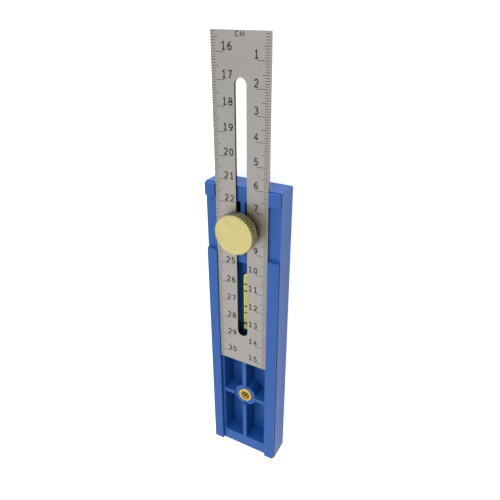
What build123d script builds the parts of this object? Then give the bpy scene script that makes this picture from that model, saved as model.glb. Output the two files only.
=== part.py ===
from build123d import *
import math
import os

os.makedirs("parts", exist_ok=True)

# Adjustable marking gauge, in millimetres.
# +X runs across the tool, +Y along it towards the rule's zero end, +Z out of its front.
# The origin lies on the flat back, under the axis of the clamping screw.

# Slotted rule
rule_length = 152.4
rule_width = 25.4
rule_thickness = 1.2
slot_width = 5.3
slot_end_margin = 16.35
rule_below_screw = 73.5
rule_corner_radius = 0.4

# Body: a cored slab with four raised pads that leave a long and a crosswise channel for the rule
rule_side_clearance = 0.125
channel_floor_z = 10.9
channel_depth = 1.8
pad_width = 5.125
pad_ledge = 0.35
upper_pad_length = 5.9
lower_pad_length = 120.15
corner_radius = 0.3
pad_edge_radius = 0.25
back_edge_chamfer = 0.2

# Cored pocket and its ribs
back_skin = 1.8
pocket_side_wall = 6.6
pocket_end_wall = 7.0
pocket_corner_radius = 1.0
rib_thickness = 2.1
cross_web_thickness = 4.475
lower_web_thickness = 2.0

# Screw bosses and their threaded inserts
insert_spacing = 97.1
boss_radius = 6.0
boss_below_channel = 1.0
insert_radius = 3.8
insert_length = 8.0
insert_stand_out = 0.4
insert_fit = 0.02
insert_mouth_chamfer = 0.35
hole_below_insert = 0.1
thread_bore_radius = 2.1

# Clamping screw: washer, knurled head and stud
washer_radius = 6.0
washer_thickness = 0.7
washer_bore_clearance = 0.15
shoulder_radius = 5.2
shoulder_height = 1.5
head_radius = 9.3
head_height = 5.15
head_front_chamfer = 0.1
head_rear_chamfer = 0.9
knurl_count = 48
knurl_depth = 0.65
stud_radius = 2.5
stud_socket_depth = 4.5
stud_press_fit = 0.01
stud_end_gap = 0.1
neck_above_insert = 0.1
thread_clearance = 0.05
thread_engagement = 7.5
stud_tip_chamfer = 0.5

# Spirit level in its cradle: a square block with a round blind bore, closed by a cap
vial_width = 5.0
vial_height = 4.4
vial_block_length = 26.4
vial_joint_gap = 0.3
vial_cap_length = 3.5
vial_bore_radius = 1.7
vial_end_wall = 1.7
vial_edge_radius = 0.15
spigot_length = 3.3
spigot_fit = 0.02
vial_side_clearance = 0.3
vial_end_clearance = 0.05
cradle_rail_thickness = 3.7
cradle_height = 4.2
finger_space = 1.4
upper_toe_length = 2.6
raised_stop_length = 7.3
raised_stop_width = 4.8
raised_stop_height = 5.6
lower_stop_length = 6.55
lower_stop_width = 9.6
toe_height = 2.2
window_width = 3.6
window_end_margin = 2.4
inner_line_spacing = 8.7
outer_line_spacing = 16.2
line_width = 0.7
line_depth = 0.12
line_fit = 0.01
bubble_radius = 1.0
bubble_length = 8.0
bubble_top_gap = 0.1

# Places worked out from the sizes above
channel_half_width = rule_width / 2 + rule_side_clearance
pad_outer_x = channel_half_width + pad_width
body_half_width = pad_outer_x + pad_ledge
upper_pad_end_y = channel_half_width + upper_pad_length
lower_pad_end_y = -channel_half_width - lower_pad_length
body_top_y = upper_pad_end_y + pad_ledge
body_bottom_y = lower_pad_end_y - pad_ledge
pocket_half_width = body_half_width - pocket_side_wall
pocket_top_y = body_top_y - pocket_end_wall
pocket_bottom_y = body_bottom_y + pocket_end_wall
web_bottom_y = -channel_half_width - cross_web_thickness
vial_top_y = web_bottom_y - raised_stop_length - upper_toe_length
vial_joint_y = vial_top_y - vial_block_length
vial_cap_top_y = vial_joint_y - vial_joint_gap
vial_bottom_y = vial_cap_top_y - vial_cap_length
cavity_top_y = vial_top_y - vial_end_wall
cavity_bottom_y = vial_joint_y + spigot_length
cavity_centre_y = (cavity_top_y + cavity_bottom_y) / 2
vial_top_z = back_skin + vial_height
bore_z = back_skin + vial_height / 2
lower_web_top_y = vial_bottom_y - vial_end_clearance - lower_stop_length
lower_web_bottom_y = lower_web_top_y - lower_web_thickness
boss_top_z = channel_floor_z - boss_below_channel
insert_top_z = boss_top_z + insert_stand_out
insert_bottom_z = insert_top_z - insert_length
rule_front_z = channel_floor_z + rule_thickness
washer_top_z = rule_front_z + washer_thickness
head_bottom_z = washer_top_z + shoulder_height
head_top_z = head_bottom_z + head_height
neck_bottom_z = insert_top_z + neck_above_insert
stud_tip_z = insert_top_z - thread_engagement
screw_places = [(0, 0), (0, -insert_spacing)]


def cell(low_x, high_x, low_y, high_y):
    """A rectangle in the current sketch, given by its four sides."""
    with Locations(((low_x + high_x) / 2, (low_y + high_y) / 2)):
        Rectangle(high_x - low_x, high_y - low_y)


# Moulded body
with BuildPart() as body:
    with BuildSketch(Plane.XY):
        cell(-body_half_width, body_half_width, body_bottom_y, body_top_y)
    extrude(amount=channel_floor_z)
    fillet(body.edges().filter_by(Axis.Z), corner_radius)
    chamfer(body.faces().sort_by(Axis.Z)[0].edges(), back_edge_chamfer)
    # Four pads beside the two channels
    with BuildSketch(Plane.XY.offset(channel_floor_z)):
        for side in (-1, 1):
            inner = side * channel_half_width
            outer = side * pad_outer_x
            cell(min(inner, outer), max(inner, outer), channel_half_width, upper_pad_end_y)
            cell(min(inner, outer), max(inner, outer), lower_pad_end_y, -channel_half_width)
    extrude(amount=channel_depth)
    pad_fronts = body.faces().filter_by(Axis.Z).group_by(Axis.Z)[-1]
    fillet(pad_fronts.edges(), pad_edge_radius)
    # Long pocket cored from the channel floor
    with BuildSketch(Plane.XY.offset(back_skin)):
        with Locations((0, (pocket_top_y + pocket_bottom_y) / 2)):
            RectangleRounded(2 * pocket_half_width, pocket_top_y - pocket_bottom_y, pocket_corner_radius)
    extrude(amount=channel_floor_z - back_skin, mode=Mode.SUBTRACT)
    # Central rib above and below the level, cross ribs through both screws, and two webs
    with BuildSketch(Plane.XY.offset(back_skin)):
        cell(-rib_thickness / 2, rib_thickness / 2, -channel_half_width, pocket_top_y)
        cell(-rib_thickness / 2, rib_thickness / 2, pocket_bottom_y, lower_web_bottom_y)
        for x, y in screw_places:
            cell(-pocket_half_width, pocket_half_width, y - rib_thickness / 2, y + rib_thickness / 2)
        cell(-pocket_half_width, pocket_half_width, web_bottom_y, -channel_half_width)
        cell(-pocket_half_width, pocket_half_width, lower_web_bottom_y, lower_web_top_y)
    extrude(amount=channel_floor_z - back_skin)
    # Round bosses, a step lower than the ribs
    with BuildSketch(Plane.XY.offset(boss_top_z)):
        with Locations(*screw_places):
            Circle(boss_radius)
    extrude(amount=boss_below_channel, mode=Mode.SUBTRACT)
    with BuildSketch(Plane.XY.offset(back_skin)):
        with Locations(*screw_places):
            Circle(boss_radius)
    extrude(amount=boss_top_z - back_skin)
    with BuildSketch(Plane.XY.offset(insert_bottom_z - hole_below_insert)):
        with Locations(*screw_places):
            Circle(insert_radius + insert_fit)
    extrude(amount=boss_top_z - insert_bottom_z + hole_below_insert, mode=Mode.SUBTRACT)
    # Cradle of the level: a block with a recess that is open below and has finger space above
    with BuildSketch(Plane.XY.offset(back_skin)):
        recess_half_width = vial_width / 2 + vial_side_clearance
        cradle_half_width = recess_half_width + cradle_rail_thickness
        cell(-cradle_half_width, cradle_half_width, vial_joint_y, web_bottom_y)
    extrude(amount=cradle_height)
    with BuildSketch(Plane.XY.offset(back_skin)):
        recess_top_y = vial_top_y + finger_space
        cell(-recess_half_width, recess_half_width, vial_joint_y, recess_top_y)
    extrude(amount=cradle_height, mode=Mode.SUBTRACT)
    # Toe at the level's upper end, a low stop at its lower end and a raised stop above the cradle
    with BuildSketch(Plane.XY.offset(back_skin)):
        cell(-recess_half_width, recess_half_width, vial_top_y + vial_end_clearance, recess_top_y)
        low_x = lower_stop_width / 2
        cell(-low_x, low_x, lower_web_top_y, vial_bottom_y - vial_end_clearance)
    extrude(amount=toe_height)
    with BuildSketch(Plane.XY.offset(back_skin)):
        high_x = raised_stop_width / 2
        cell(-high_x, high_x, web_bottom_y - raised_stop_length, web_bottom_y)
    extrude(amount=raised_stop_height)
    # Sight window in the back
    with BuildSketch(Plane.XY):
        window_half = window_width / 2
        cell(-window_half, window_half, vial_bottom_y + window_end_margin, vial_top_y - window_end_margin)
    extrude(amount=back_skin, mode=Mode.SUBTRACT)
body.part.label = "body"
export_step(body.part, "parts/body.step")

# Slotted steel rule
with BuildPart() as rule:
    with BuildSketch(Plane.XY.offset(channel_floor_z)):
        with Locations((0, rule_length / 2 - rule_below_screw)):
            RectangleRounded(rule_width, rule_length, rule_corner_radius)
            SlotOverall(rule_length - 2 * slot_end_margin, slot_width, rotation=90, mode=Mode.SUBTRACT)
    extrude(amount=rule_thickness)
rule.part.label = "rule"
export_step(rule.part, "parts/rule.step")

# Threaded inserts
for insert_name, (insert_x, insert_y) in zip(("upper_insert", "lower_insert"), screw_places):
    with BuildPart() as insert:
        with BuildSketch(Plane((insert_x, insert_y, insert_bottom_z))):
            Circle(insert_radius)
            Circle(thread_bore_radius, mode=Mode.SUBTRACT)
        extrude(amount=insert_length)
        mouth = insert.faces().sort_by(Axis.Z)[-1]
        chamfer(mouth.edges(), insert_mouth_chamfer)
    insert.part.label = insert_name
    export_step(insert.part, "parts/" + insert_name + ".step")

# Washer under the screw's shoulder
with BuildPart() as clamp_washer:
    with BuildSketch(Plane.XY.offset(rule_front_z)):
        Circle(washer_radius)
        Circle(stud_radius + washer_bore_clearance, mode=Mode.SUBTRACT)
    extrude(amount=washer_thickness)
clamp_washer.part.label = "clamp_washer"
export_step(clamp_washer.part, "parts/clamp_washer.step")

# Knurled head with its shoulder
with BuildPart() as knob_head:
    with BuildSketch(Plane.XY.offset(head_bottom_z)):
        with BuildLine():
            rim = []
            for i in range(2 * knurl_count):
                radius = head_radius - knurl_depth * (i % 2)
                angle = math.pi * i / knurl_count
                rim.append((radius * math.cos(angle), radius * math.sin(angle)))
            Polyline(*rim, close=True)
        make_face()
    extrude(amount=head_height)
    with BuildSketch(Plane.XZ):
        with BuildLine():
            Polyline(
                (0, head_bottom_z),
                (head_radius - head_rear_chamfer, head_bottom_z),
                (head_radius, head_bottom_z + head_rear_chamfer),
                (head_radius, head_top_z - head_front_chamfer),
                (head_radius - head_front_chamfer, head_top_z),
                (0, head_top_z),
                close=True,
            )
        make_face()
    revolve(axis=Axis.Z, mode=Mode.INTERSECT)
    with BuildSketch(Plane.XY.offset(washer_top_z)):
        Circle(shoulder_radius)
    extrude(amount=shoulder_height)
    with BuildSketch(Plane.XY.offset(washer_top_z)):
        Circle(stud_radius + stud_press_fit)
    extrude(amount=stud_socket_depth, mode=Mode.SUBTRACT)
knob_head.part.label = "knob_head"
export_step(knob_head.part, "parts/knob_head.step")

# Stud: a plain neck through the slot, then the thread's core down into the insert
with BuildPart() as knob_stud:
    with BuildSketch(Plane.XY.offset(neck_bottom_z)):
        Circle(stud_radius)
    extrude(amount=washer_top_z + stud_socket_depth - stud_end_gap - neck_bottom_z)
    with BuildSketch(Plane.XY.offset(neck_bottom_z)):
        Circle(thread_bore_radius - thread_clearance)
    extrude(amount=stud_tip_z - neck_bottom_z)
    chamfer(knob_stud.faces().sort_by(Axis.Z)[0].edges(), stud_tip_chamfer)
knob_stud.part.label = "knob_stud"
export_step(knob_stud.part, "parts/knob_stud.step")

# Block of the spirit level, with a shallow groove for each line on its front
line_places = []
for spacing in (outer_line_spacing, inner_line_spacing, -inner_line_spacing, -outer_line_spacing):
    line_places.append(cavity_centre_y + spacing / 2)
with BuildPart() as vial_block:
    with BuildSketch(Plane.XY.offset(back_skin)):
        cell(-vial_width / 2, vial_width / 2, vial_joint_y, vial_top_y)
    extrude(amount=vial_height)
    fillet(vial_block.faces().sort_by(Axis.Z)[-1].edges(), vial_edge_radius)
    with BuildSketch(Plane(origin=(0, vial_joint_y, bore_z), z_dir=(0, 1, 0))):
        Circle(vial_bore_radius)
    extrude(amount=cavity_top_y - vial_joint_y, mode=Mode.SUBTRACT)
    with BuildSketch(Plane.XY.offset(vial_top_z - line_depth)):
        for line_y in line_places:
            cell(-vial_width / 2, vial_width / 2, line_y - line_width / 2, line_y + line_width / 2)
    extrude(amount=line_depth, mode=Mode.SUBTRACT)
vial_block.part.label = "vial_block"
export_step(vial_block.part, "parts/vial_block.step")

# Painted lines in those grooves, counted from the rule's zero end
for count, line_y in enumerate(line_places, start=1):
    with BuildPart() as vial_line:
        with BuildSketch(Plane.XY.offset(vial_top_z - line_depth + line_fit)):
            half_line = line_width / 2 - line_fit
            half_across = vial_width / 2 - vial_edge_radius
            cell(-half_across, half_across, line_y - half_line, line_y + half_line)
        extrude(amount=line_depth - line_fit)
    vial_line.part.label = "vial_line_" + str(count)
    export_step(vial_line.part, "parts/vial_line_" + str(count) + ".step")

# Cap with the spigot that closes the bore
with BuildPart() as vial_cap:
    with BuildSketch(Plane.XY.offset(back_skin)):
        cell(-vial_width / 2, vial_width / 2, vial_bottom_y, vial_cap_top_y)
    extrude(amount=vial_height)
    fillet(vial_cap.faces().sort_by(Axis.Z)[-1].edges(), vial_edge_radius)
    with BuildSketch(Plane(origin=(0, vial_cap_top_y, bore_z), z_dir=(0, 1, 0))):
        Circle(vial_bore_radius - spigot_fit)
    extrude(amount=cavity_bottom_y - vial_cap_top_y)
vial_cap.part.label = "vial_cap"
export_step(vial_cap.part, "parts/vial_cap.step")

# Air bubble at the top of the bore
with BuildPart() as vial_bubble:
    bubble_z = bore_z + vial_bore_radius - bubble_top_gap - bubble_radius
    with BuildSketch(Plane(origin=(0, cavity_centre_y, bubble_z), x_dir=(0, 1, 0), z_dir=(0, 0, 1))):
        with BuildLine():
            half_run = bubble_length / 2 - bubble_radius
            Line((-bubble_length / 2, 0), (bubble_length / 2, 0))
            RadiusArc((bubble_length / 2, 0), (half_run, bubble_radius), -bubble_radius)
            Line((half_run, bubble_radius), (-half_run, bubble_radius))
            RadiusArc((-half_run, bubble_radius), (-bubble_length / 2, 0), -bubble_radius)
        make_face()
    revolve(axis=Axis((0, cavity_centre_y, bubble_z), (0, 1, 0)))
vial_bubble.part.label = "vial_bubble"
export_step(vial_bubble.part, "parts/vial_bubble.step")
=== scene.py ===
"""Adjustable marking gauge: its finishes, scales and threads on the CAD frame.

Metres. +X runs across the tool, +Y along it towards the rule's zero end, +Z out of its front.
"""

import math

import bmesh
import bpy
from mathutils import Matrix, Vector


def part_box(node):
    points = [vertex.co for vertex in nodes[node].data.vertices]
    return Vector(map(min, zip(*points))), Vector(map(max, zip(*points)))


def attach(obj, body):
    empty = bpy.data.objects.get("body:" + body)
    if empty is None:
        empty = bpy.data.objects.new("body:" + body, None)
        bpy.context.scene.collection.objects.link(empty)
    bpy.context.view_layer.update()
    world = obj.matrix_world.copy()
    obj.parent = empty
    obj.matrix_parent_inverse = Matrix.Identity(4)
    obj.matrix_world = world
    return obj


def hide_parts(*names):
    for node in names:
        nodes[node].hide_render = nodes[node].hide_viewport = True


MM = 0.001

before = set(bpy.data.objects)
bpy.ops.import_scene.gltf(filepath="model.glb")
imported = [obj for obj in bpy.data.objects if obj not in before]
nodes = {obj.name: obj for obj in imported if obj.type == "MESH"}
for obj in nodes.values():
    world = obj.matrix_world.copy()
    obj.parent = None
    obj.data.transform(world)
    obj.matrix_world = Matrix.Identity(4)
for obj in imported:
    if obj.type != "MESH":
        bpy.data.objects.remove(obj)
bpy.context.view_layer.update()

rule_low, rule_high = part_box("rule")
knob_low, knob_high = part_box("knob_head")
stud_low, stud_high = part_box("knob_stud")
block_low, block_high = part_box("vial_block")
cap_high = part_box("vial_cap")[1]
# Both inserts stand on X = 0, the upper one on Y = 0 as well.
LOWER_INSERT_Y = -97.1 * MM

scene = bpy.context.scene
scene.view_settings.view_transform = "Standard"


# Camera and lights

# The viewpoint was solved from the rule's graduations. The focal length and the sensor are in
# millimetres.
VIEWPOINT = Vector((95.20, 88.57, 179.55)) * MM
VIEW_RIGHT = Vector((0.8787, -0.0011, -0.4773))
VIEW_UP = Vector((-0.2169, 0.8898, -0.4015))
FOCAL_LENGTH = 35.155
SENSOR_WIDTH = 36
TOOL_MIDDLE = Vector((0, -0.03, 0))

camera = bpy.data.objects.new("camera", bpy.data.cameras.new("camera"))
scene.collection.objects.link(camera)
turn = Matrix((VIEW_RIGHT, VIEW_UP, VIEW_RIGHT.cross(VIEW_UP))).transposed().to_4x4()
camera.matrix_world = Matrix.Translation(VIEWPOINT) @ turn
camera.data.lens = FOCAL_LENGTH
camera.data.sensor_width = SENSOR_WIDTH
camera.data.clip_start = 10 * MM
camera.data.clip_end = 20
scene.camera = camera


def softbox(name, place, size, watts):
    """A square studio light at place that faces the tool."""
    lamp = bpy.data.lights.new(name, "AREA")
    lamp.shape = "SQUARE"
    lamp.size = size
    lamp.energy = watts
    light = bpy.data.objects.new(name, lamp)
    scene.collection.objects.link(light)
    light.location = place
    light.rotation_euler = (TOOL_MIDDLE - light.location).to_track_quat("-Z", "Y").to_euler()


softbox("key_light", (-0.1, 0.95, 1.2), size=2.2, watts=11.5)
softbox("fill_light", (-0.85, -1.15, 1.5), size=1.7, watts=6.2)


# Finishes

RULE_MIDDLE = (rule_low.y + rule_high.y) / 2
# How far the slot's walls reach from the rule's middle, with a little to spare.
SLOT_REACH_X = 3 * MM
SLOT_REACH_Y = 62 * MM
HALF_JOINT_GAP = 0.15 * MM
JOINT_Y = block_low.y - HALF_JOINT_GAP


def linear(colour):
    """An sRGB hex colour as linear red, green, blue and alpha."""
    parts = [int(colour[i : i + 2], 16) / 255 for i in (0, 2, 4)]
    return [c / 12.92 if c <= 0.04045 else ((c + 0.055) / 1.055) ** 2.4 for c in parts] + [1]


def add(tree, kind, inputs=(), **settings):
    """Adds one node with its settings; an input is given a value, or the socket that feeds it.

    Sockets whose names repeat go by number. A colour Mix takes its share at 0 and its two
    colours at 6 and 7, and gives the result at 2. MapRange takes the range it reads at 1 and 2
    and the range it gives at 3 and 4.
    """
    made = tree.nodes.new("ShaderNode" + kind)
    for key, value in settings.items():
        setattr(made, key, value)
    for key, value in dict(inputs).items():
        if isinstance(value, bpy.types.NodeSocket):
            tree.links.new(value, made.inputs[key])
        else:
            made.inputs[key].default_value = value
    return made


# The backdrop lights the tool softly, and is seen as white as the floor.
BACKDROP_LIGHT = 0.6
BACKDROP_WHITE = 1.0
world = bpy.data.worlds.new("studio")
scene.world = world
world.use_nodes = True
seen = add(world.node_tree, "LightPath").outputs["Is Camera Ray"]
levels = {"Value": seen, "To Min": BACKDROP_LIGHT, "To Max": BACKDROP_WHITE}
strength = add(world.node_tree, "MapRange", levels).outputs[0]
backdrop = world.node_tree.nodes["Background"].inputs
backdrop["Color"].default_value = (1, 1, 1, 1)
world.node_tree.links.new(strength, backdrop["Strength"])


def start(name):
    """A new material with its node tree, its surface socket and the place on the piece in metres."""
    material = bpy.data.materials.new(name)
    material.use_nodes = True
    tree = material.node_tree
    tree.nodes.clear()
    surface = add(tree, "OutputMaterial").inputs["Surface"]
    place = add(tree, "TexCoord").outputs["Object"]
    return material, tree, surface, place


def moulded_abs():
    """Moulded ABS in mid blue: a satin skin with a fine grain, with painted shade on the long sides."""
    material, tree, surface, place = start("moulded_abs")
    cloud = add(tree, "TexNoise", {"Vector": place, "Scale": 1 / (14 * MM), "Detail": 3.0}).outputs[0]
    # The mould steel's grain is near 0.05 mm; drawn at 0.4 mm so that it shows.
    grain = add(tree, "TexNoise", {"Vector": place, "Scale": 1 / (0.4 * MM), "Detail": 2.0}).outputs[0]
    blues = {0: cloud, 6: linear("225DAE"), 7: linear("2762B5")}
    skin = add(tree, "Mix", blues, data_type="RGBA").outputs[2]
    # Faces turned to ±X, the long sides, are painted a darker blue: painted shade.
    across = add(tree, "SeparateXYZ", {0: add(tree, "TexCoord").outputs["Normal"]}).outputs["X"]
    not_long_side = add(tree, "Math", {0: across, 1: 0.0, 2: 0.5}, operation="COMPARE").outputs[0]
    shaded_long_sides = {0: not_long_side, 6: linear("1C5096"), 7: skin}
    colour = add(tree, "Mix", shaded_long_sides, data_type="RGBA").outputs[2]
    rough = add(tree, "MapRange", {0: grain, 1: 0.3, 2: 0.7, 3: 0.40, 4: 0.50}).outputs[0]
    relief = add(tree, "Bump", {"Height": grain, "Distance": 0.01 * MM, "Strength": 0.5}).outputs[0]
    shader = add(tree, "BsdfPrincipled", {"Base Color": colour, "Roughness": rough, "Normal": relief})
    shader.inputs["Specular IOR Level"].default_value = 0.4
    tree.links.new(shader.outputs[0], surface)
    return material


def satin_chrome():
    """Steel with brushed satin chrome: an even warm grey with painted shade on the edges, black in the
    slot.
    """
    material, tree, surface, place = start("satin_chrome")
    # Brush lines are near 0.03 mm apart; drawn at 0.25 mm so that they show.
    per_metre = (1 / (0.25 * MM), 1 / (14 * MM), 1 / (0.25 * MM))
    along = add(tree, "Mapping", {"Vector": place, "Scale": per_metre}).outputs[0]
    brush = add(tree, "TexNoise", {"Vector": along, "Scale": 1.0, "Detail": 2.0}).outputs[0]
    handling = add(tree, "TexNoise", {"Vector": place, "Scale": 1 / (9 * MM), "Detail": 4.0}).outputs[0]
    greys = {0: handling, 6: linear("A9A5A1"), 7: linear("B1ADA9")}
    plated = add(tree, "Mix", greys, data_type="RGBA").outputs[2]
    lean = add(tree, "SeparateXYZ", {0: add(tree, "TexCoord").outputs["Normal"]}).outputs["Z"]
    edge = add(tree, "Math", {0: lean, 1: 0.0, 2: 0.5}, operation="COMPARE").outputs[0]
    # The upright edges are painted a darker grey: painted shade.
    edge_shaded = add(tree, "Mix", {0: edge, 6: plated, 7: linear("8B8784")}, data_type="RGBA").outputs[2]
    spot = add(tree, "SeparateXYZ", {0: place}).outputs
    across = {0: spot["X"], 1: 0.0, 2: SLOT_REACH_X}
    near_middle = add(tree, "Math", across, operation="COMPARE").outputs[0]
    lengthwise = {0: spot["Y"], 1: RULE_MIDDLE, 2: SLOT_REACH_Y}
    along_slot = add(tree, "Math", lengthwise, operation="COMPARE").outputs[0]
    in_slot = add(tree, "Math", {0: near_middle, 1: along_slot}, operation="MULTIPLY").outputs[0]
    blackened = add(tree, "Math", {0: in_slot, 1: edge}, operation="MULTIPLY").outputs[0]
    slot_wall = {0: blackened, 6: edge_shaded, 7: linear("262524")}
    colour = add(tree, "Mix", slot_wall, data_type="RGBA").outputs[2]
    rough = add(tree, "MapRange", {0: brush, 1: 0.3, 2: 0.7, 3: 0.42, 4: 0.52}).outputs[0]
    relief = add(tree, "Bump", {"Height": brush, "Distance": 0.004 * MM, "Strength": 0.4}).outputs[0]
    metal = {"Base Color": colour, "Metallic": 1.0, "Roughness": rough, "Normal": relief}
    shader = add(tree, "BsdfPrincipled", metal)
    tree.links.new(shader.outputs[0], surface)
    return material


def turned_brass(name, pale, deep, side_shade_tone, centre_y=0.0, roughness=0.3, knurl_radius=0.0):
    """Turned brass: a warm yellow metal with the cutter's fine rings, with painted shade on its upright
    sides and deeper in the knurl's grooves.
    """
    material, tree, surface, place = start(name)
    about = add(tree, "VectorMath", {0: place, 1: (0, centre_y, 0)}, operation="SUBTRACT").outputs[0]
    flat = add(tree, "VectorMath", {0: about, 1: (1, 1, 0)}, operation="MULTIPLY").outputs[0]
    radius = add(tree, "VectorMath", {0: flat}, operation="LENGTH").outputs["Value"]
    # The feed is near 0.1 mm a turn; drawn at 0.35 mm so that its rings show.
    turns = add(tree, "Math", {0: radius, 1: 2 * math.pi / (0.35 * MM)}, operation="MULTIPLY").outputs[0]
    rings = add(tree, "Math", {0: turns}, operation="SINE").outputs[0]
    cloud = add(tree, "TexNoise", {"Vector": place, "Scale": 1 / (5 * MM), "Detail": 4.0}).outputs[0]
    yellows = {0: cloud, 6: linear(pale), 7: linear(deep)}
    clean = add(tree, "Mix", yellows, data_type="RGBA").outputs[2]
    # Painted shade darkens the lower part of the knurl's grooves.
    groove = {0: radius, 1: knurl_radius - 0.55 * MM, 2: knurl_radius - 0.15 * MM, 3: 1.0, 4: 0.0}
    depth = add(tree, "MapRange", groove).outputs[0]
    # Upright faces take the side tone: painted shade on the sides.
    lean = add(tree, "SeparateXYZ", {0: add(tree, "TexCoord").outputs["Normal"]}).outputs["Z"]
    upright = add(tree, "Math", {0: lean, 1: 0.0, 2: 0.4}, operation="COMPARE").outputs[0]
    groove_shade = {0: depth, 6: linear(side_shade_tone), 7: linear("AAA078")}
    side = add(tree, "Mix", groove_shade, data_type="RGBA").outputs[2]
    colour = add(tree, "Mix", {0: upright, 6: clean, 7: side}, data_type="RGBA").outputs[2]
    satin = {0: cloud, 1: 0.3, 2: 0.7, 3: roughness - 0.04, 4: roughness + 0.06}
    rough = add(tree, "MapRange", satin).outputs[0]
    relief = add(tree, "Bump", {"Height": rings, "Distance": 0.002 * MM, "Strength": 0.35}).outputs[0]
    metal = {"Base Color": colour, "Metallic": 1.0, "Roughness": rough, "Normal": relief}
    shader = add(tree, "BsdfPrincipled", metal)
    tree.links.new(shader.outputs[0], surface)
    return material


def fluorescent_acrylic(name, pale, deep, glow, haze):
    """Clear acrylic with a fluorescent yellow-green dye; its glow is painted light, a steady emission
    for the light it gathers.
    """
    material, tree, surface, place = start(name)
    cloud = add(tree, "TexNoise", {"Vector": place, "Scale": 1 / (4 * MM), "Detail": 2.0}).outputs[0]
    dyed = add(tree, "Mix", {0: cloud, 6: linear(pale), 7: linear(deep)}, data_type="RGBA").outputs[2]
    # The cut end that faces +Y is painted paler: painted light, standing in for the gathered light that
    # comes out there.
    along = add(tree, "SeparateXYZ", {0: add(tree, "TexCoord").outputs["Normal"]}).outputs["Y"]
    cut_end = add(tree, "Math", {0: along, 1: 0.5}, operation="GREATER_THAN").outputs[0]
    painted_end_light = add(tree, "Mix", {0: cut_end, 6: dyed, 7: linear("D2D79A")}, data_type="RGBA").outputs[2]
    # The glue joint between block and cap is dark.
    spot = add(tree, "SeparateXYZ", {0: place}).outputs["Y"]
    joint = add(tree, "Math", {0: spot, 1: JOINT_Y, 2: 0.5 * MM}, operation="COMPARE").outputs[0]
    colour = add(tree, "Mix", {0: joint, 6: painted_end_light, 7: linear("34350F")}, data_type="RGBA").outputs[2]
    rough = add(tree, "MapRange", {0: cloud, 1: 0.3, 2: 0.7, 3: haze, 4: haze + 0.06}).outputs[0]
    # The emission is painted light standing in for the dye's glow, so the base colour under it is taken
    # darker.
    base_under_glow = add(tree, "VectorMath", {0: colour, "Scale": 0.6}, operation="SCALE").outputs[0]
    dye = {"Base Color": base_under_glow, "Emission Color": colour, "Roughness": rough}
    shader = add(tree, "BsdfPrincipled", dye)
    shader.inputs["IOR"].default_value = 1.49
    shader.inputs["Transmission Weight"].default_value = 0.8
    shader.inputs["Emission Strength"].default_value = glow
    tree.links.new(shader.outputs[0], surface)
    return material


def fluorescent_spirit():
    """Dyed level spirit: a thin yellow-green liquid whose glow is painted light, a steady emission."""
    material, tree, surface, place = start("fluorescent_spirit")
    swirl = add(tree, "TexNoise", {"Vector": place, "Scale": 1 / (8 * MM), "Detail": 2.0}).outputs[0]
    yellows = {0: swirl, 6: linear("D9DC5C"), 7: linear("E3E46E")}
    colour = add(tree, "Mix", yellows, data_type="RGBA").outputs[2]
    shader = add(tree, "BsdfPrincipled", {"Base Color": colour, "Emission Color": colour})
    shader.inputs["Roughness"].default_value = 0.1
    shader.inputs["IOR"].default_value = 1.36
    # Painted light: the steady glow stands in for the light the dye gathers.
    shader.inputs["Emission Strength"].default_value = 0.5
    shader.inputs["Alpha"].default_value = 0.15
    tree.links.new(shader.outputs[0], surface)
    return material


def air_bubble():
    """Air in the spirit: a painted highlight on its crown, painted shade on its rim where it bends the
    light away, and a glow of painted light.
    """
    material, tree, surface, place = start("air_bubble")
    skin = add(tree, "TexNoise", {"Vector": place, "Scale": 1 / (2 * MM), "Detail": 1.0}).outputs[0]
    whites = {0: skin, 6: linear("F3F6B4"), 7: linear("FAFBCF")}
    pale = add(tree, "Mix", whites, data_type="RGBA").outputs[2]
    lean = add(tree, "SeparateXYZ", {0: add(tree, "TexCoord").outputs["Normal"]}).outputs["Z"]
    # The crown is painted pale and the rim dark by how the face leans: painted highlight and painted
    # shade.
    crown = add(tree, "MapRange", {0: lean, 1: 0.6, 2: 0.75, 3: 0.0, 4: 1.0}).outputs[0]
    colour = add(tree, "Mix", {0: crown, 6: linear("2E340C"), 7: pale}, data_type="RGBA").outputs[2]
    shader = add(tree, "BsdfPrincipled", {"Base Color": colour, "Emission Color": colour})
    shader.inputs["Roughness"].default_value = 0.05
    # The emission is painted light.
    shader.inputs["Emission Strength"].default_value = 1.0
    tree.links.new(shader.outputs[0], surface)
    return material


def marking_enamel(name, dark, worn, roughness):
    """Black enamel: a thin dull film, a little uneven where it was wiped."""
    material, tree, surface, place = start(name)
    wipe = add(tree, "TexNoise", {"Vector": place, "Scale": 1 / (0.8 * MM), "Detail": 3.0}).outputs[0]
    colour = add(tree, "Mix", {0: wipe, 6: linear(dark), 7: linear(worn)}, data_type="RGBA").outputs[2]
    dull = {0: wipe, 1: 0.3, 2: 0.7, 3: roughness - 0.05, 4: roughness + 0.1}
    rough = add(tree, "MapRange", dull).outputs[0]
    shader = add(tree, "BsdfPrincipled", {"Base Color": colour, "Roughness": rough})
    tree.links.new(shader.outputs[0], surface)
    return material


blue_abs = moulded_abs()
chrome = satin_chrome()
knob_radius = (knob_high.x - knob_low.x) / 2
knob_brass = turned_brass(
    "turned_brass_knob", "D5CA91", "CBBE80", "BEB691", roughness=0.42, knurl_radius=knob_radius
)
screw_brass = turned_brass("turned_brass_screw", "D9BE72", "CBAE60", "CBAE60")
insert_brass = turned_brass("turned_brass_insert", "DDC06A", "CDAE58", "CDAE58", LOWER_INSERT_Y)
block_acrylic = fluorescent_acrylic(
    "fluorescent_acrylic_block", "D2D46E", "DADB80", glow=0.34, haze=0.04
)
cap_acrylic = fluorescent_acrylic("fluorescent_acrylic_cap", "A4AA50", "ACB262", glow=0.46, haze=0.3)
spirit_dye = fluorescent_spirit()
line_enamel = marking_enamel("line_enamel", "1E2410", "30381A", roughness=0.4)
etched_enamel = marking_enamel("etched_enamel", "1B1A1A", "2C2A29", roughness=0.6)
bubble_air = air_bubble()

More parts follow.
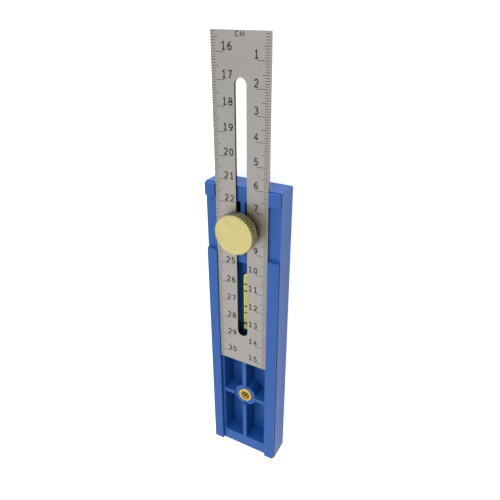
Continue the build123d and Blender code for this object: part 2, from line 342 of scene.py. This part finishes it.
FINISHES = {
    "body": blue_abs,
    "rule": chrome,
    "clamp_washer": screw_brass,
    "knob_head": knob_brass,
    "vial_block": block_acrylic,
    "vial_cap": cap_acrylic,
    "vial_line_1": line_enamel,
    "vial_line_2": line_enamel,
    "vial_line_3": line_enamel,
    "vial_line_4": line_enamel,
    "vial_bubble": bubble_air,
}
for name, finish in FINISHES.items():
    for slot in nodes[name].material_slots:
        slot.material = finish


def make_piece(name, form, finish, body):
    """Turns a bmesh into a piece that rides on a CAD body."""
    bmesh.ops.recalc_face_normals(form, faces=form.faces[:])
    mesh = bpy.data.meshes.new(name)
    form.to_mesh(mesh)
    form.free()
    mesh.materials.append(finish)
    piece = bpy.data.objects.new(name, mesh)
    scene.collection.objects.link(piece)
    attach(piece, body)
    return piece


# Floor

FLOOR_REACH = 2.5
# A hair below the tool's back, so that the two faces don't share one plane.
FLOOR_Z = -0.05 * MM

floor_form = bmesh.new()
bmesh.ops.create_grid(floor_form, x_segments=8, y_segments=8, size=FLOOR_REACH)
floor_mesh = bpy.data.meshes.new("floor")
floor_form.to_mesh(floor_mesh)
floor_form.free()
paper, tree, surface, place = start("white_paper")
fibre = add(tree, "TexNoise", {"Vector": place, "Scale": 1 / (40 * MM), "Detail": 3.0}).outputs[0]
whites = {0: fibre, 6: linear("F8F8F8"), 7: linear("FBFBFB")}
tone = add(tree, "Mix", whites, data_type="RGBA").outputs[2]
sheet = add(tree, "BsdfPrincipled", {"Base Color": tone, "Emission Color": tone})
sheet.inputs["Roughness"].default_value = 0.9
sheet.inputs["Specular IOR Level"].default_value = 0.1
sheet.inputs["Emission Strength"].default_value = 0.62
# From below the paper is clear, so that the tool's flat back can be looked at.
below = add(tree, "NewGeometry").outputs["Backfacing"]
clear = add(tree, "BsdfTransparent").outputs[0]
one_way = add(tree, "MixShader", {0: below, 1: sheet.outputs[0], 2: clear}).outputs[0]
tree.links.new(one_way, surface)
floor_mesh.materials.append(paper)
floor = bpy.data.objects.new("floor", floor_mesh)
scene.collection.objects.link(floor)
floor.location.z = FLOOR_Z


# Scales and numbers on the rule

FACE_Z = rule_high.z
MARK_SINK = 0.01 * MM
MARK_RISE = 0.012 * MM
EDGE_X = rule_high.x
ZERO_Y = rule_high.y
TICK_WIDTH = 0.2 * MM
CM_TICK, HALF_TICK, MM_TICK = 5.5 * MM, 3.1 * MM, 1.9 * MM
RIGHT_INSET, LEFT_INSET = 0.2 * MM, 0.05 * MM
DIGIT_HEIGHT = 3.1 * MM
DIGIT_STROKE = 0.52 * MM
DIGIT_STRETCH = 1.06
DIGIT_ADVANCE = 0.8
DIGIT_GAP = 0.55 * MM
# Where the numbers begin: on the left, and on the right with one and with two digits.
LEFT_NUMBER_X = -8.1 * MM
RIGHT_DIGIT_X, RIGHT_PAIR_X = 5.9 * MM, 3.25 * MM
# The left edge goes on counting where the right one ends, in millimetres.
LEFT_SCALE_START = 152.4
# Keeps a graduation at the very end from being lost to rounding.
ROUNDING = 1e-6
UNIT_X, UNIT_DROP = -2.1 * MM, 2.2 * MM
UNIT_HEIGHT, UNIT_STROKE, UNIT_STRETCH = 1.9 * MM, 0.36 * MM, 1.4


def bow(x, y, across, up, start_angle, stop_angle, steps=14):
    """Points along an elliptical arc, angles in degrees."""
    points = []
    for i in range(steps + 1):
        angle = math.radians(start_angle + (stop_angle - start_angle) * i / steps)
        points.append((x + across * math.cos(angle), y + up * math.sin(angle)))
    return points


# Each sign's strokes on a square of one sign's height: open lines, and loops that close.
SIGNS = {
    "0": [bow(0.30, 0.50, 0.22, 0.43, 0, 360, 24)],
    "1": [[(0.12, 0.76), (0.32, 0.93), (0.32, 0.07)], [(0.12, 0.07), (0.52, 0.07)]],
    "2": [bow(0.30, 0.68, 0.21, 0.25, 165, -35) + [(0.09, 0.07), (0.53, 0.07)]],
    "3": [bow(0.28, 0.72, 0.20, 0.21, 150, -80), bow(0.28, 0.29, 0.24, 0.22, 90, -150)],
    "4": [[(0.40, 0.07), (0.40, 0.93), (0.08, 0.32), (0.56, 0.32)]],
    "5": [[(0.50, 0.93), (0.15, 0.93), (0.12, 0.54)] + bow(0.28, 0.34, 0.24, 0.27, 120, -145)],
    "6": [bow(0.31, 0.32, 0.22, 0.25, 0, 360, 20), bow(0.49, 0.36, 0.40, 0.57, 175, 92)],
    "7": [[(0.08, 0.93), (0.53, 0.93), (0.24, 0.07)]],
    "8": [bow(0.30, 0.71, 0.18, 0.22, 0, 360, 20), bow(0.30, 0.29, 0.23, 0.22, 0, 360, 20)],
    "9": [bow(0.29, 0.68, 0.22, 0.25, 0, 360, 20), bow(0.11, 0.64, 0.40, 0.57, -5, -88)],
    "C": [bow(0.34, 0.50, 0.26, 0.43, 50, 310)],
    "M": [[(0.06, 0.07), (0.12, 0.93), (0.36, 0.14), (0.60, 0.93), (0.66, 0.07)]],
}


def stroke(form, points, width):
    """A flat line of that width along points, as a low closed solid set into the rule's face."""
    closed = len(points) > 2 and math.dist(points[0], points[-1]) < 1e-9
    points = [Vector(p) for p in (points[:-1] if closed else points)]
    count = len(points)
    rails = []
    for i, point in enumerate(points):
        before = points[i - 1] if i or closed else point
        after = points[(i + 1) % count] if i < count - 1 or closed else point
        ahead = (after - point).normalized() if after != point else (point - before).normalized()
        behind = (point - before).normalized() if before != point else ahead
        middle = (ahead + behind).normalized()
        # A mitred corner; one that is very sharp is kept short.
        reach = width / 2 / max(middle.dot(ahead), 0.5)
        side = Vector((-middle.y, middle.x)) * reach
        rails.append((point + side, point - side))
    rings = []
    for left, right in rails:
        ring = []
        for spot, z in ((left, MARK_RISE), (right, MARK_RISE), (right, -MARK_SINK), (left, -MARK_SINK)):
            ring.append(form.verts.new((spot.x, spot.y, FACE_Z + z)))
        rings.append(ring)
    spans = list(zip(rings, rings[1:])) + ([(rings[-1], rings[0])] if closed else [])
    for one, two in spans:
        for k in range(4):
            form.faces.new((one[k], one[(k + 1) % 4], two[(k + 1) % 4], two[k]))
    if not closed:
        form.faces.new(rings[0])
        form.faces.new(rings[-1])


def write(form, text, x, y, height, weight, stretch=1.0):
    """Signs with their lower left corner at x, y."""
    wide = height * stretch
    for i, sign in enumerate(text):
        for line in SIGNS[sign]:
            placed = [(x + (px + i * DIGIT_ADVANCE) * wide, y + py * height) for px, py in line]
            stroke(form, placed, weight)


def mark_rule(name, form):
    """Puts enamel marks on the rule, so that they slide with it."""
    make_piece(name, form, etched_enamel, "rule")


rule_length = rule_high.y - rule_low.y
for side, first in ((1, 0.0), (-1, LEFT_SCALE_START)):
    ticks = bmesh.new()
    numbers = bmesh.new()
    first_count = math.ceil(first - ROUNDING)
    last_count = math.floor(first + rule_length / MM + ROUNDING)
    outer = side * (EDGE_X - (RIGHT_INSET if side > 0 else LEFT_INSET))
    for count in range(first_count, last_count + 1):
        y = ZERO_Y - (count - first) * MM
        if abs(y - ZERO_Y) < TICK_WIDTH or abs(y - rule_low.y) < TICK_WIDTH:
            continue
        reach = CM_TICK if count % 10 == 0 else HALF_TICK if count % 5 == 0 else MM_TICK
        stroke(ticks, [(outer, y), (outer - side * reach, y)], TICK_WIDTH)
        if count % 10 == 0:
            label = str(count // 10)
            right_x = RIGHT_PAIR_X if len(label) == 2 else RIGHT_DIGIT_X
            start_x = right_x if side > 0 else LEFT_NUMBER_X
            write(numbers, label, start_x, y + DIGIT_GAP, DIGIT_HEIGHT, DIGIT_STROKE, DIGIT_STRETCH)
    where = "right" if side > 0 else "left"
    mark_rule("rule_scale_" + where, ticks)
    mark_rule("rule_numbers_" + where, numbers)

unit = bmesh.new()
write(unit, "CM", UNIT_X, ZERO_Y - UNIT_DROP, UNIT_HEIGHT, UNIT_STROKE, UNIT_STRETCH)
mark_rule("rule_unit_mark", unit)


# Screw threads

THREAD_PITCH = 0.8 * MM
THREAD_CREST = 2.5 * MM
THREAD_ROOT = 2.1 * MM
THREAD_CLEARANCE = 0.05 * MM
THREAD_STEPS = 48
ROWS_PER_PITCH = 8
# The insert's thread stops short of both ends, where its bore opens a little past the crest.
INSERT_CHAMFER = 0.35 * MM
INSERT_END_MARGIN, INSERT_MOUTH_MARGIN = 0.2 * MM, 0.45 * MM
INSERT_END_RADIUS = THREAD_CREST + 0.05 * MM
INSERT_MOUTH_RADIUS = THREAD_CREST + 0.1 * MM
# The stud's thread runs from its tapered tip to a smooth neck above the rule.
STUD_TIP_LENGTH = 0.5 * MM
STUD_TIP_RADIUS = THREAD_ROOT - 0.5 * MM
STUD_NECK_Z = rule_high.z + 0.9 * MM
STUD_NECK_RUN_OUT = 0.3 * MM


def thread_depth(turn, z):
    """0 at the thread's root and 1 at its crest, for a right-hand thread.

    A quarter of each pitch is crest and a quarter is root, and the flanks slope between them.
    """
    phase = (z / THREAD_PITCH - turn) % 1
    return min(max(1.5 - abs(phase - 0.5) * 4, 0.0), 1.0)


def threaded_wall(form, low, high, offset=0.0):
    """Rings of points up a threaded wall about the Z axis, and the faces between them."""
    rows = round((high - low) / (THREAD_PITCH / ROWS_PER_PITCH))
    rings = []
    for row in range(rows + 1):
        z = low + (high - low) * row / rows
        ring = []
        for step in range(THREAD_STEPS):
            turn = step / THREAD_STEPS
            radius = THREAD_ROOT + (THREAD_CREST - THREAD_ROOT) * thread_depth(turn, z) + offset
            angle = 2 * math.pi * turn
            ring.append(form.verts.new((radius * math.cos(angle), radius * math.sin(angle), z)))
        rings.append(ring)
    for one, two in zip(rings, rings[1:]):
        bridge(form, one, two)
    return rings[0], rings[-1]


def round_ring(form, radius, z):
    """One ring of points about the Z axis."""
    ring = []
    for step in range(THREAD_STEPS):
        angle = 2 * math.pi * step / THREAD_STEPS
        ring.append(form.verts.new((radius * math.cos(angle), radius * math.sin(angle), z)))
    return ring


def bridge(form, one, two):
    """Faces between two rings of the same length."""
    for step in range(len(one)):
        after = (step + 1) % len(one)
        form.faces.new((one[step], one[after], two[after], two[step]))


def threaded_insert(name, centre_y):
    """An insert with its thread cut, in the place of the plain CAD one."""
    low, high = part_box(name)
    outer = (high.x - low.x) / 2
    form = bmesh.new()
    bottom, top = threaded_wall(form, low.z + INSERT_END_MARGIN, high.z - INSERT_MOUTH_MARGIN)
    profile = [
        (INSERT_END_RADIUS, low.z),
        (outer, low.z),
        (outer, high.z - INSERT_CHAMFER),
        (outer - INSERT_CHAMFER, high.z),
        (INSERT_MOUTH_RADIUS, high.z),
    ]
    last = bottom
    for radius, z in profile:
        ring = round_ring(form, radius, z)
        bridge(form, last, ring)
        last = ring
    bridge(form, last, top)
    bmesh.ops.translate(form, verts=form.verts[:], vec=(0, centre_y, 0))
    piece = make_piece(name + "_threaded", form, insert_brass, "stock")
    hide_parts(name)


threaded_insert("upper_insert", 0.0)
threaded_insert("lower_insert", LOWER_INSERT_Y)

stud_form = bmesh.new()
thread_low = stud_low.z + STUD_TIP_LENGTH
bottom, top = threaded_wall(stud_form, thread_low, STUD_NECK_Z, -THREAD_CLEARANCE)
tip = round_ring(stud_form, STUD_TIP_RADIUS, stud_low.z)
stud_form.faces.new(tip)
bridge(stud_form, tip, bottom)
neck_radius = THREAD_CREST - THREAD_CLEARANCE
neck = round_ring(stud_form, neck_radius, STUD_NECK_Z + STUD_NECK_RUN_OUT)
bridge(stud_form, top, neck)
head_end = round_ring(stud_form, neck_radius, stud_high.z)
bridge(stud_form, neck, head_end)
stud_form.faces.new(head_end)
stud = make_piece("threaded_stud", stud_form, screw_brass, "thumb_screw")
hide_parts("knob_stud")


# Spirit in the level

# The spirit fills the bore between the cap's spigot and the block's end wall.
BORE_RADIUS = 1.7 * MM
END_WALL = 1.7 * MM
SPIRIT_GAP = 0.02 * MM
SPIRIT_RADIUS = BORE_RADIUS - SPIRIT_GAP
SPIRIT_LOW = cap_high.y + SPIRIT_GAP
SPIRIT_HIGH = block_high.y - END_WALL - SPIRIT_GAP
SPIRIT_LENGTHS = 8
BORE_Z = (block_low.z + block_high.z) / 2
# Each end is rounded: its share of the radius, and how far in from the end in millimetres.
ROUNDED_END = [(0.92, 0.0), (0.98, 0.08), (1.0, 0.25)]

stations = [(share, SPIRIT_LOW + depth * MM) for share, depth in ROUNDED_END]
for i in range(1, SPIRIT_LENGTHS):
    stations.append((1.0, SPIRIT_LOW + (SPIRIT_HIGH - SPIRIT_LOW) * i / SPIRIT_LENGTHS))
stations += [(share, SPIRIT_HIGH - depth * MM) for share, depth in reversed(ROUNDED_END)]
spirit_form = bmesh.new()
last = None
for share, y in stations:
    radius = SPIRIT_RADIUS * share
    ring = []
    for step in range(THREAD_STEPS):
        angle = 2 * math.pi * step / THREAD_STEPS
        point = (radius * math.cos(angle), y, BORE_Z + radius * math.sin(angle))
        ring.append(spirit_form.verts.new(point))
    if last:
        bridge(spirit_form, last, ring)
    else:
        spirit_form.faces.new(ring)
    last = ring
spirit_form.faces.new(last)
spirit = make_piece("level_spirit", spirit_form, spirit_dye, "stock")
for face in spirit.data.polygons:
    face.use_smooth = len(face.vertices) == 4
